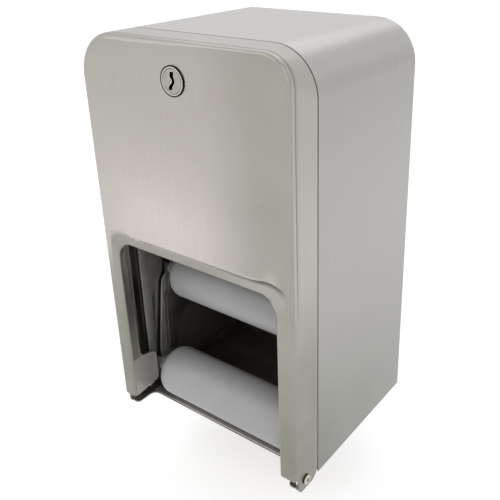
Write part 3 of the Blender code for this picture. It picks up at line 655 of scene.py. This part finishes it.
def earSurface(side):
    # level lines between a front and a rear outline, which turn in on their corner arcs below the leg
    rollY = front + edgeRadiusAt(side)
    bottom, toe, heel = door["earBottom"], door["toeRadius"], door["earRadius"]
    growth = 1 - np.cos(np.linspace(0, math.pi / 2, door["earSteps"] + 1))
    below = bottom + (door["legBottom"] - bottom) * growth
    heights = np.unique(np.concatenate([below, [door["legBottom"] - 2 * hair], legHeights]).round(7))
    rollY = np.where(heights < door["legBottom"] - hair, front + door["earFront"], rollY)
    toeDrop, heelDrop = np.clip(bottom + toe - heights, 0, None), np.clip(bottom + heel - heights, 0, None)
    frontLine = rollY + toe - np.sqrt(np.maximum(toe ** 2 - toeDrop ** 2, 0))
    rearLine = flangeRear - heel + np.sqrt(np.maximum(heel ** 2 - heelDrop ** 2, 0))
    return levelLines(side * halfWidth, frontLine, rearLine, heights)


def levelLines(x, frontLine, rearLine, heights):
    # an upright plate, ruled from its front outline to its rear one at every height
    share = np.linspace(0, 1, door["plateSteps"] + 1)[:, None]
    depths = frontLine * (1 - share) + rearLine * share
    return np.stack([np.full_like(depths, x), depths, np.broadcast_to(heights, depths.shape)], axis=-1)


def plateKnots():
    # the rear outline of a leg's return, as pairs (height, depth)
    bottom, top, cut = door["plateBottom"], door["plateTop"], door["plateRound"]
    deep, neck = front + door["plateDepth"], front + door["legReturnDepth"]
    return np.array([
        (door["legBottom"], front + door["openingRoll"]), (bottom, deep - cut), (bottom + cut, deep),
        *[(top + up, deep + back) for up, back in door["plateShoulder"]],
        *[(top + up, neck + back) for up, back in door["plateNeck"]],
        (openingCentreZ, front + door["returnDepth"])])


def plateSurface(side):
    # level lines from the leg's roll back to the return's rear outline
    rearLine = np.interp(legHeights, *plateKnots().T)
    return levelLines(side * door["openingHalfWidth"], front + door["openingRoll"], rearLine, legHeights)


def makeDoor():
    above = slice(len(legHeights) - 1, 1 - len(legHeights))  # the points over the legs
    opening = openingSurface()
    roll, flange = edgeSurface()
    panel = panelSurface(opening[-1][above], roll[0][above])
    depths = spread((front + door["returnDepth"], front + door["openingRoll"]), door["returnSteps"])
    returnRows = np.stack([openingRow(door["openingRadius"], y, 1)[above] for y in depths])
    grids = [panel, opening, returnRows, roll, flange[:, above]]
    for side in (-1, 1):
        grids += [earSurface(side), plateSurface(side)]
    item = surfaceObject("door_panel_dressed", grids, (0, -1, 0))
    addSheet(item, door["sheet"])
    cut = door["drillReach"]
    hinge = ("X", (hingeY, hingeZ), door["hingeHoleRadius"])
    drillHoles(item, [
        ("Y", (0, dispenser["lockHeight"]), door["lockHoleRadius"], front - cut, front + 2 * cut),
        (*hinge, -halfWidth - cut, -halfWidth + cut), (*hinge, halfWidth - cut, halfWidth + cut)])
    sharpEdges(item, sheetSharp)
    markDoor(item)
    lower(item)
    finishPiece(item, doorSteel, "door", "door_panel")


def markDoor(item):
    # painted shade along the creases and painted highlights on the groove's crest and the cut edges; grain
    # runs up the front and over the flange
    points = meshPoints(item)
    x, y, z = points.T
    back = y - front
    corner = cornerAt(back, x)
    outX, outZ = pastCorner(x, z, corner)
    inset = corner - np.where(outZ > 0, np.hypot(outX, outZ), outX)
    groove = grooveDistance(x, z)
    fade = grooveFade(np.stack([x, z], axis=1)) * (back < door["frontReach"])
    # the painted shade in the groove's crease is deeper, and the painted highlight on its crest brighter, to
    # the right
    wide = door["grooveWidth"][0] + tint(x, *door["grooveWidth"])
    strength = (door["grooveMark"] + tint(x, *door["grooveMarkRight"])) * ease(x, *door["grooveMarkStart"])
    crease = bell(groove, door["grooveStart"] + door["groovePlace"], wide) * fade * strength
    crest = bell(groove, door["grooveStart"] + door["crestPlace"], door["crestWidth"]) * fade
    # painted shade along the shallow crease in the flange
    beside = bell(back, door["creaseBack"], door["creaseMarkWidth"])
    beside *= np.abs(inset) < door["creaseMarkReach"]
    setFloat(item, "paintedShade", np.maximum(crease, beside * tint(z, *door["creaseMark"])))
    inside = door["openingHalfWidth"] + door["sheet"] * door["returnReach"]
    inward = (np.abs(x) < inside) & (back > door["openingRoll"])
    behind = inward & (z < door["plateTop"] + door["plateMargin"])
    rear = inward & (z < openingCentreZ) & (back > np.interp(z, *plateKnots().T) - front - hair)
    # painted highlights on the groove's crest and along the rear edge of each leg's return
    setFloat(item, "edge", np.maximum(crest * tint(x, *door["crestMark"]), rear * door["rearMark"]))
    setFloat(item, "dull", behind + door["returnDull"] * (inward & ~behind))
    # painted light and shade over the door; the plate behind each leg's return has a fixed tone of painted
    # light
    setFloat(item, "paintedLightAndTone", np.where(behind, door["returnTone"], doorPaintedLight(x, z, back, groove)))
    length = np.maximum(np.hypot(outX, outZ), 1 / weldCells)
    setGrain(item, x + back * np.sign(x) * outX / length, z + back * outZ / length)


def doorPaintedLight(x, z, back, groove):
    # painted light and shade: a bell-shaped painted light patch low on the panel, a darker right side, darker
    # legs and band, and the flange's own painted patch and shade low down
    acrossPatch, upPatch = door["patch"]
    panel = door["panelTone"] + tint(z, *door["lowTone"])
    panel += door["patchTone"] * bell(x, *acrossPatch) * bell(z, *upPatch)
    panel += tint(x, *door["rightTone"]) * (door["rightHigh"] + tint(z, *door["rightLow"]))
    lower = door["bandTone"] + tint(z, *door["legTone"]) + tint(x, *door["leftLegTone"])
    lower += ease(z, *door["bandStart"]) * (door["bandLeftTone"] + tint(x, *door["bandRightTone"]))
    band = np.maximum(ease(z, door["openingTop"], -door["bandBlend"]), groove < door["grooveStart"])
    strength, centre, width = door["flangePatch"]
    flange = door["flangeTone"] + strength * bell(z, centre, width) + tint(z, *door["flangeLowTone"])
    return np.where(back > edgeRadiusAt(x), flange, panel * (1 - band) + lower * band)


makeDoor()
print("door ready")

# cabinet: one bent sheet, stepped in at the front under the door

cabinet = {
    "sheet": 0.0009, "joggleDepth": 0.0016, "joggleLength": 0.0012, "seamShade": 0.0003,
    "lipLength": 0.0074, "lipBottom": 0.014, "cornerSteps": 24, "sideSteps": 20, "topSteps": 16,
    "backRows": (11,), "joggleRows": (6,), "lipRows": (3,),
    "sideShift": 0.4,  # parts the brushing of the two sides
    # from seamReach on, the values place painted shade and light: in the seam, on the inner side and beside
    # the tracks, darker low and high, a lighter top and a highlight on the bend
    "seamReach": 0.003, "skin": 0.002, "paintedLightAndTone": 0.80, "lowEase": (0.15, -0.16), "lowTone": (0.55, 0.54),
    "highTone": (-0.12, 0.19, 0.04), "innerShade": 0.6, "topBlend": 0.012, "topLift": 0.24,
    "turnAngle": 0.75,  # where a painted soft highlight runs along the bent corner
    "turnWidth": 0.35, "turnLift": 0.55, "trackTop": 0.16, "trackShade": (0.9, -0.07, -0.012),
}


def shellPath(inset, bottom):
    # up the left side, round both top corners and down the right side
    half, radius = halfWidth - inset, dispenser["cornerRadius"] - inset
    left, right = cornerArcs(half, topZ - inset, radius, radius, cabinet["cornerSteps"])
    return joined([
        straight((-half, bottom), left[0], cabinet["sideSteps"]), left,
        straight(left[-1], right[0], cabinet["topSteps"]), right,
        straight(right[-1], (half, bottom), cabinet["sideSteps"])])


def cabinetPaintedShade(y, z):
    # painted shade: darker towards the bottom, most at the front, and a little towards the top
    atWall, towardFront = cabinet["lowTone"]
    low = ease(z, *cabinet["lowEase"]) * (atWall - towardFront * y / dispenser["depth"])
    return cabinet["paintedLightAndTone"] * (1 - low) + tint(z, *cabinet["highTone"])


def makeCabinet():
    # rows from the wall to the seam, an S curve down to the lip, and the lip
    body, bottom, depth = shellPath(0, 0), cabinet["lipBottom"], cabinet["joggleDepth"]
    lipStart, lip = seam - cabinet["joggleLength"], seam - cabinet["lipLength"]
    rows = [raised(body, y) for y in (*spread((0, seam + cabinet["seamShade"]), cabinet["backRows"]), seam)]
    rows += [raised(shellPath(depth * smoothShare(share), bottom), seam - cabinet["joggleLength"] * share)
             for share in spread((0, 1), cabinet["joggleRows"])[1:]]
    rows += [raised(shellPath(depth, bottom), y) for y in spread((lipStart, lip), cabinet["lipRows"])[1:]]
    item = surfaceObject("cabinet_shell_dressed", [np.stack(rows)])
    if item.data.polygons[0].normal.x > 0:
        item.data.flip_normals()
    addSheet(item, cabinet["sheet"])
    sharpEdges(item, sheetSharp)
    x, y, z = meshPoints(item).T
    radius = dispenser["cornerRadius"]
    outX, outZ = pastCorner(x, z, radius)
    angle = np.arctan2(outZ, np.maximum(outX, tiny))
    cornerZ = topZ - radius
    inX = np.maximum(halfWidth - radius - np.abs(x), 0)
    along = np.where(z < cornerZ, z, cornerZ + radius * angle + inX)
    setGrain(item, y + cabinet["sideShift"] * np.sign(x), along)
    outward = np.hypot(outX, outZ)
    step = radius - depth
    outer = outward > step - cabinet["sheet"] / 2
    # painted shade in the seam, on the cabinet's inner side and beside the tracks
    paintedShade = ((y < seam + hair) & (y > seam - cabinet["seamReach"]) & outer) * 1.0
    inside = (outward > step - cabinet["skin"]) & ~outer
    besideTrack = inside * (z < cabinet["trackTop"]) * tint(y, *cabinet["trackShade"])
    setFloat(item, "paintedShade", np.maximum(paintedShade, np.maximum(inside * cabinet["innerShade"], besideTrack)))
    # a painted highlight on the lip's front cut edge
    setFloat(item, "edge", (y < lip + hair) * 1.0)
    # painted light: a lighter top, and a painted soft highlight along the bent corner
    onTop = tint(z, cabinet["topLift"], topZ - cabinet["topBlend"], cabinet["topBlend"])
    turn = bell(angle, cabinet["turnAngle"], cabinet["turnWidth"]) * (outZ > 0) * (outX > 0)
    setFloat(item, "paintedLightAndTone", cabinetPaintedShade(y, z) + onTop + cabinet["turnLift"] * turn)
    lower(item)
    finishPiece(item, cabinetSteel, "cabinet", "cabinet_shell")


makeCabinet()
print("cabinet ready")

# spindles: moulded rollers with rounded ends and a peg at each end

spindle = {
    "radius": 0.018, "halfLength": 0.0585, "endRadius": 0.008, "hubEnd": 0.0692, "hubRadius": 0.0052,
    "hubRound": 0.0008, "pegRadius": 0.0022, "pegEnd": 0.0756, "pegChamfer": 0.0007, "endSteps": 16,
    "tipSteps": 5, "tipAngle": 70, "segments": 96, "sharp": 50,
}


def spindleProfile():
    # straight body, quarter-round ends, a tapered hub with a rounded end, then the peg
    radius, end, tipRound = spindle["radius"], spindle["endRadius"], spindle["hubRound"]
    shoulder, hub = spindle["halfLength"] - end, spindle["hubEnd"]
    tip, peg, chamfer = spindle["pegEnd"], spindle["pegRadius"], spindle["pegChamfer"]
    hubCentre = (hub - tipRound, spindle["hubRadius"] - tipRound)
    half = np.concatenate([
        [(0, radius), (shoulder / 2, radius)],
        arcPoints((shoulder, radius - end), end, 90, 0, spindle["endSteps"]),
        arcPoints(hubCentre, tipRound, spindle["tipAngle"], 0, spindle["tipSteps"]),
        [(hub, peg), (tip - chamfer, peg), (tip, peg - chamfer), (tip, 0)]])
    return np.concatenate([half[::-1] * (-1, 1), half[1:]])


def makeSpindle(node, body):
    low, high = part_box(node)
    middle = (low + high) / 2
    item = turnedObject(node + "_dressed", spindleProfile(), "X", (middle.y, middle.z), spindle["segments"])
    sharpEdges(item, spindle["sharp"])
    finishPiece(item, spindlePlastic, body, node)


makeSpindle("lower_spindle", "lower_roller")
makeSpindle("reserve_spindle", "reserve_roller")
print("spindles ready")

# lock: rim and plug face with its key slot

lock = {
    "collarRadius": 0.0087, "collarHeight": 0.0003, "rimRadius": 0.0080, "rimHeight": 0.0007,
    "rimRound": 0.0003, "faceRadius": 0.0069, "ringWidth": 0.0002, "faceDish": 0.00012,
    "bodyRadius": 0.0080, "bodyLength": 0.0205, "plugRadius": 0.0058, "plugGap": 0.0004,
    "faceDepth": 0.0016, "tailLength": 0.0008, "dishShares": (0.84, 0.9), "rimSteps": 6, "edgeSteps": 5,
    # the keyway's corners from its middle, across and up: it steps right and back left on its way down
    "slot": ((-0.0008, 0.0051), (-0.0009, 0.0034), (-0.0010, 0.0023), (0.0001, 0.0008), (0.0001, -0.0006),
             (-0.0017, -0.0028), (-0.0021, -0.0050), (-0.0001, -0.0048), (0.0002, -0.0030), (0.0015, -0.0008),
             (0.0016, 0.0010), (0.0010, 0.0026), (0.0014, 0.0053)),
    "slotSpread": (1.3, 1), "slotReach": 0.002, "slotDepth": 0.0060, "darkDepth": 0.0004, "darkShare": 0.98,
    "segments": 96,
}
lockFace = front - lock["rimHeight"]
barrelRear = front + lock["bodyLength"]
collarRear = front - fitGap
lockZ = dispenser["lockHeight"]


def makeBarrel():
    # a collar against the door, dark with painted shade, and on it the rim with its edges rounded, bright
    # with a painted highlight
    collarFront = collarRear - lock["collarHeight"]
    bore, plugBore = lock["faceRadius"] + lock["ringWidth"], lock["plugRadius"] + lock["plugGap"]
    rim, collar, body, r = lock["rimRadius"], lock["collarRadius"], lock["bodyRadius"], lock["rimRound"]
    outer = arcPoints((lockFace + r, rim - r), r, 180, 90, lock["rimSteps"])
    inner = arcPoints((lockFace + r, bore + r), r, 270, 180, lock["rimSteps"])
    faceRear = collarRear + lock["faceDepth"]
    profile = np.concatenate([
        inner, outer, [(collarFront, rim), (collarFront, collar), (collarRear, collar), (collarRear, body),
                       (barrelRear, body), (barrelRear, plugBore), (faceRear, plugBore), (faceRear, bore)],
        inner[:1]])
    item = turnedObject("lock_barrel_dressed", profile, "Y", (0, lockZ), lock["segments"])
    sharpEdges(item, turnedSharp)
    x, y, z = faceVectors(item, "center").T
    radius = np.hypot(x, z - lockZ)
    # painted shade in the ring inside the rim and on the collar; a painted highlight on the rim's rounded
    # front
    inBore = (radius < bore + hair) & (y > lockFace + r)
    setFloat(item, "paintedShade", (inBore | (radius > rim + hair)) * 1.0, "FACE")
    setFloat(item, "edge", (y < lockFace + r) * 1.0, "FACE")
    lower(item)
    finishPiece(item, lockSteel, "door", "lock_barrel")


def makePlug():
    # the face with its shallow dish, the narrower body, and the keyway cut into both
    face, body, tail = lock["faceRadius"], lock["plugRadius"], barrelRear + lock["tailLength"]
    r, dish = lock["rimRound"], lockFace + lock["faceDish"]
    edge = arcPoints((lockFace + r, face - r), r, 180, 90, lock["edgeSteps"])
    shoulder = collarRear + lock["faceDepth"] - lock["plugGap"]
    dishEnd, flatStart = lock["dishShares"]
    profile = np.concatenate([
        [(dish, 0), (dish, face * dishEnd), (lockFace, face * flatStart)], edge,
        [(shoulder, face), (shoulder, body), (tail, body), (tail, 0)]])
    item = turnedObject("lock_plug_dressed", profile, "Y", (0, lockZ), lock["segments"])
    outline = np.array(lock["slot"]) * lock["slotSpread"] + (0, lockZ)
    middle = outline.mean(axis=0)
    ring = np.concatenate([outline, outline[:1]])
    start, end = lockFace - lock["slotReach"], lockFace + lock["slotDepth"]
    ends = [raised(ring * share + middle * (1 - share), y)
            for y, share in ((start, 0), (start, 1), (end, 1), (end, 0))]
    cutWith(item, surfaceObject("key slot cutter", [np.stack(ends)]))
    sharpEdges(item, turnedSharp)
    x, y, z = faceVectors(item, "center").T
    # painted shade deep in the keyway
    deep = (y > lockFace + lock["darkDepth"]) & (y < shoulder + lock["slotDepth"])
    setFloat(item, "paintedShade", (deep & (np.hypot(x, z - lockZ) < body * lock["darkShare"])) * 1.0, "FACE")
    lower(item)
    finishPiece(item, lockSteel, "lock", "lock_plug")


makeBarrel()
makePlug()
print("lock ready")

# hinge rivets: a pan head with a dimple, outside each ear

rivet = {
    "shankRadius": 0.0026, "headRadius": 0.0033, "headHeight": 0.0015, "crownShare": 0.65, "crownSteps": 8,
    "dimpleRadius": 0.0012, "dimpleDepth": 0.0005,
    "dimpleFlat": (0.8, 0.5),  # shares of its depth and radius
    "tailRadius": 0.0033, "tailRound": (0.6, 0.7),
    "footShare": (0.97, 0.25),  # the painted shade line round the head's foot, as shares of its radius and height
    "markStrength": 0.9, "segments": 64,
}


def makeHingeRivet(side, word):
    head = halfWidth + fitGap
    tail = halfWidth - cabinet["joggleDepth"] - door["sheet"] - fitGap
    radius, height, dimple = rivet["headRadius"], rivet["headHeight"], rivet["dimpleRadius"]
    shank, end, depth = rivet["shankRadius"], rivet["tailRadius"], rivet["dimpleDepth"]
    crown, peak = height * rivet["crownShare"], head + height
    deepShare, flatShare = rivet["dimpleFlat"]
    tailShare, endShare = rivet["tailRound"]
    profile = np.concatenate([
        [(peak - depth, 0), (peak - depth * deepShare, dimple * flatShare), (peak, dimple)],
        arcPoints((peak - crown, radius - crown), crown, 0, 90, rivet["crownSteps"]),
        [(head, radius), (head, shank), (tail, shank), (tail, end), (tail - height * tailShare, end),
         (tail - height, end * endShare), (tail - height, 0)]])
    profile[:, 0] *= side
    item = turnedObject(word + "_hinge_rivet_dressed", profile, "X", (hingeY, hingeZ),
                        rivet["segments"])
    sharpEdges(item, turnedSharp)
    x, y, z = faceVectors(item, "center").T
    reach = np.hypot(y - hingeY, z - hingeZ)
    footRadius, footHeight = rivet["footShare"]
    # painted shade round the head's foot and in the dimple
    foot = (reach > radius * footRadius) & (np.abs(x) < head + height * footHeight)
    dark = foot | (reach < dimple * deepShare)
    setFloat(item, "paintedShade", (dark & (np.abs(x) > head)) * rivet["markStrength"], "FACE")
    lower(item)
    finishPiece(item, rivetSteel, "cabinet", word + "_hinge_rivet")


for side, word in ((-1, "left"), (1, "right")):
    makeHingeRivet(side, word)
print("rivets ready")

# inner plates, levers and the latch strike keep their solids and get rounded edges; the small hardware keeps
# its solids and takes the rivet steel

carried = {
    "bevel": 0.0004, "thinBevel": 0.0002, "bevelAngle": 35, "sharp": 32,
    "level": 1,  # degrees; faces this close to one plane become one
    "strip": (0.1, 0.98),  # how much the normal of a rounded strip leans towards the plate's own
    "facing": 0.7, "inner": 0.5,
    "hemRear": -0.107,  # behind the floor's hemmed front edge
    "hemShine": 0.6,
}


def roundedCopy(node, width, material, flatAxis):
    # the node's own mesh, merged, with every sharp edge rounded and a painted highlight on the rounded strips
    source = frame["nodes"][node]
    item = newObject(node + "_dressed", source.data.copy())
    work = bmesh.new()
    work.from_mesh(item.data)
    bmesh.ops.remove_doubles(work, verts=work.verts, dist=1 / weldCells)
    level = math.radians(carried["level"])
    bmesh.ops.dissolve_limit(work, angle_limit=level, verts=work.verts, edges=work.edges)
    work.to_mesh(item.data)
    work.free()
    edge = item.modifiers.new("edge", "BEVEL")
    edge.width = width
    edge.segments = 2
    edge.limit_method = "ANGLE"
    edge.angle_limit = math.radians(carried["bevelAngle"])
    applyModifiers(item)
    sharpEdges(item, carried["sharp"])
    normal, centre = faceVectors(item, "normal"), faceVectors(item, "center")
    lean = np.abs(normal[:, flatAxis])
    bright = (lean > carried["strip"][0]) & (lean < carried["strip"][1])
    if "track_plate" in node:
        bright |= normal[:, 1] < -carried["facing"]  # the cut edges that look forwards get the painted highlight too
    share = bright * 1.0
    # on the floor only its front keeps the painted highlights, with one on the hem's top face as well
    if node == "base_floor":
        atFront = centre[:, 1] < carried["hemRear"]
        share = atFront * np.maximum(share, (normal[:, 2] > carried["facing"]) * carried["hemShine"])
    if node == "back_plate":  # the side that looks into the cabinet lies in the dark
        inwards = np.minimum(normal[:, 1], np.sign(centre[:, 0]) * normal[:, 0])
        setFloat(item, "paintedShade", (inwards < -carried["inner"]) * 1.0, "FACE")
    setFloat(item, "edge", share, "FACE")
    finishPiece(item, material, source["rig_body"], node)


roundedCopy("base_floor", carried["thinBevel"], floorSteel, 2)
roundedCopy("back_plate", carried["thinBevel"], backSteel, 1)
roundedCopy("latch_strike", carried["bevel"], innerSteel, 2)
for side in ("left", "right"):
    roundedCopy(side + "_track_plate", carried["bevel"], trackSteel, 0)
for side in ("left", "right"):
    roundedCopy(side + "_release_lever", carried["bevel"], leverSteel, 0)

for node in ("left_lever_rivet", "right_lever_rivet", "lower_left_track_rivet", "lower_right_track_rivet",
             "upper_left_track_rivet", "upper_right_track_rivet", "lock_washer", "lock_nut", "lock_cam",
             "cam_screw", "release_bar"):
    for place in frame["nodes"][node].material_slots:
        place.material = rivetSteel
print("inner pieces ready")

# floor, light and camera

stage = {
    "floorHeight": -0.19, "floorHalf": 4.0, "floorLines": 9, "floorColour": (0.86, 0.86, 0.86),
    "floorRough": 0.9, "floorGlow": 0.5, "ambient": 0.62, "aim": (0, -0.06, 0),
    "lamps": [
        # place, size, energy, colour
        ((-0.9, -1.5, 1.3), 1.6, 7, (1.0, 0.98, 0.96)),
        ((1.3, -0.9, 0.9), 1.4, 3, (1.0, 0.99, 0.98)),
        ((-0.5, 0.9, 1.3), 1.5, 4, (0.95, 0.97, 1.0)),
    ],
}


def makeFloor():
    line = np.linspace(-stage["floorHalf"], stage["floorHalf"], stage["floorLines"])
    x, y = np.meshgrid(line, line)
    grid = np.stack([x, y, np.full_like(x, stage["floorHeight"])], axis=-1)
    floor = surfaceObject("floor", [grid], (0, 0, 1))
    material, tree, shader = newMaterial("pale floor")
    feed(shader, {"Base Color": stage["floorColour"], "Roughness": stage["floorRough"],
                  "Specular IOR Level": 0})
    # seen directly, or in metal, the floor also glows, so that only the object's shadow is less than white
    glow = addNode(tree, "Emission", {"Strength": seenDirectly(tree), "Color": [stage["floorGlow"]] * 3})
    both = addNode(tree, "AddShader", {0: shader.outputs["BSDF"], 1: glow.outputs["Emission"]})
    feed(tree.nodes["Material Output"], {"Surface": both.outputs["Shader"]})
    floor.data.materials.append(material)


def seenDirectly(tree):
    # one for rays from the camera, mirrored or through glass, otherwise zero
    path = addNode(tree, "LightPath", {}).outputs
    share = path["Is Camera Ray"]
    for kind in ("Is Transmission Ray", "Is Glossy Ray"):
        share = addNode(tree, "Math", {0: share, 1: path[kind]}, operation="MAXIMUM").outputs["Value"]
    return share


def makeWorld():
    world = bpy.data.worlds.new("studio")
    bpy.context.scene.world = world
    world.use_nodes = True
    tree = world.node_tree
    soft = feed(tree.nodes["Background"], {"Color": (1, 1, 1), "Strength": stage["ambient"]})
    white = addNode(tree, "Background", {"Color": (1, 1, 1)})
    mix = addNode(tree, "MixShader", {
        "Fac": seenDirectly(tree), 1: soft.outputs["Background"], 2: white.outputs["Background"]})
    feed(tree.nodes["World Output"], {"Surface": mix.outputs["Shader"]})


def makeLamps():
    for index, (place, size, energy, colour) in enumerate(stage["lamps"]):
        data = bpy.data.lights.new(f"soft lamp {index + 1}", "AREA")
        data.shape = "SQUARE"
        data.size, data.energy, data.color = size, energy, colour
        lamp = newObject(data.name, data)
        toward = Vector(stage["aim"]) - Vector(place)
        lamp.matrix_world = Matrix.Translation(place) @ toward.to_track_quat("-Z", "Y").to_matrix().to_4x4()


view = {
    "place": (0.262422, -0.388712, 0.195159),
    "turns": ((36.158, "Z"), (90 - 22.786, "X"), (-0.959, "Z")),  # azimuth, elevation and roll
    "focalPixels": 674.534, "imagePixels": 500, "centrePixels": (290, 200), "sensorWidth": 36,
    "clipStart": 0.01,
}


def makeCamera():
    data = bpy.data.cameras.new("camera")
    pixels, (centreX, centreY) = view["imagePixels"], view["centrePixels"]
    data.sensor_width = view["sensorWidth"]
    data.lens = view["focalPixels"] * data.sensor_width / pixels
    data.shift_x = (pixels / 2 - centreX) / pixels
    data.shift_y = (centreY - pixels / 2) / pixels
    data.clip_start = view["clipStart"]
    camera = newObject("camera", data)
    matrix = Matrix.Translation(view["place"])
    for angle, axis in view["turns"]:
        matrix = matrix @ Matrix.Rotation(math.radians(angle), 4, axis)
    camera.matrix_world = matrix
    bpy.context.scene.camera = camera


makeFloor()
makeWorld()
makeLamps()
makeCamera()
bpy.context.scene.view_settings.view_transform = "Standard"
print("stage ready")
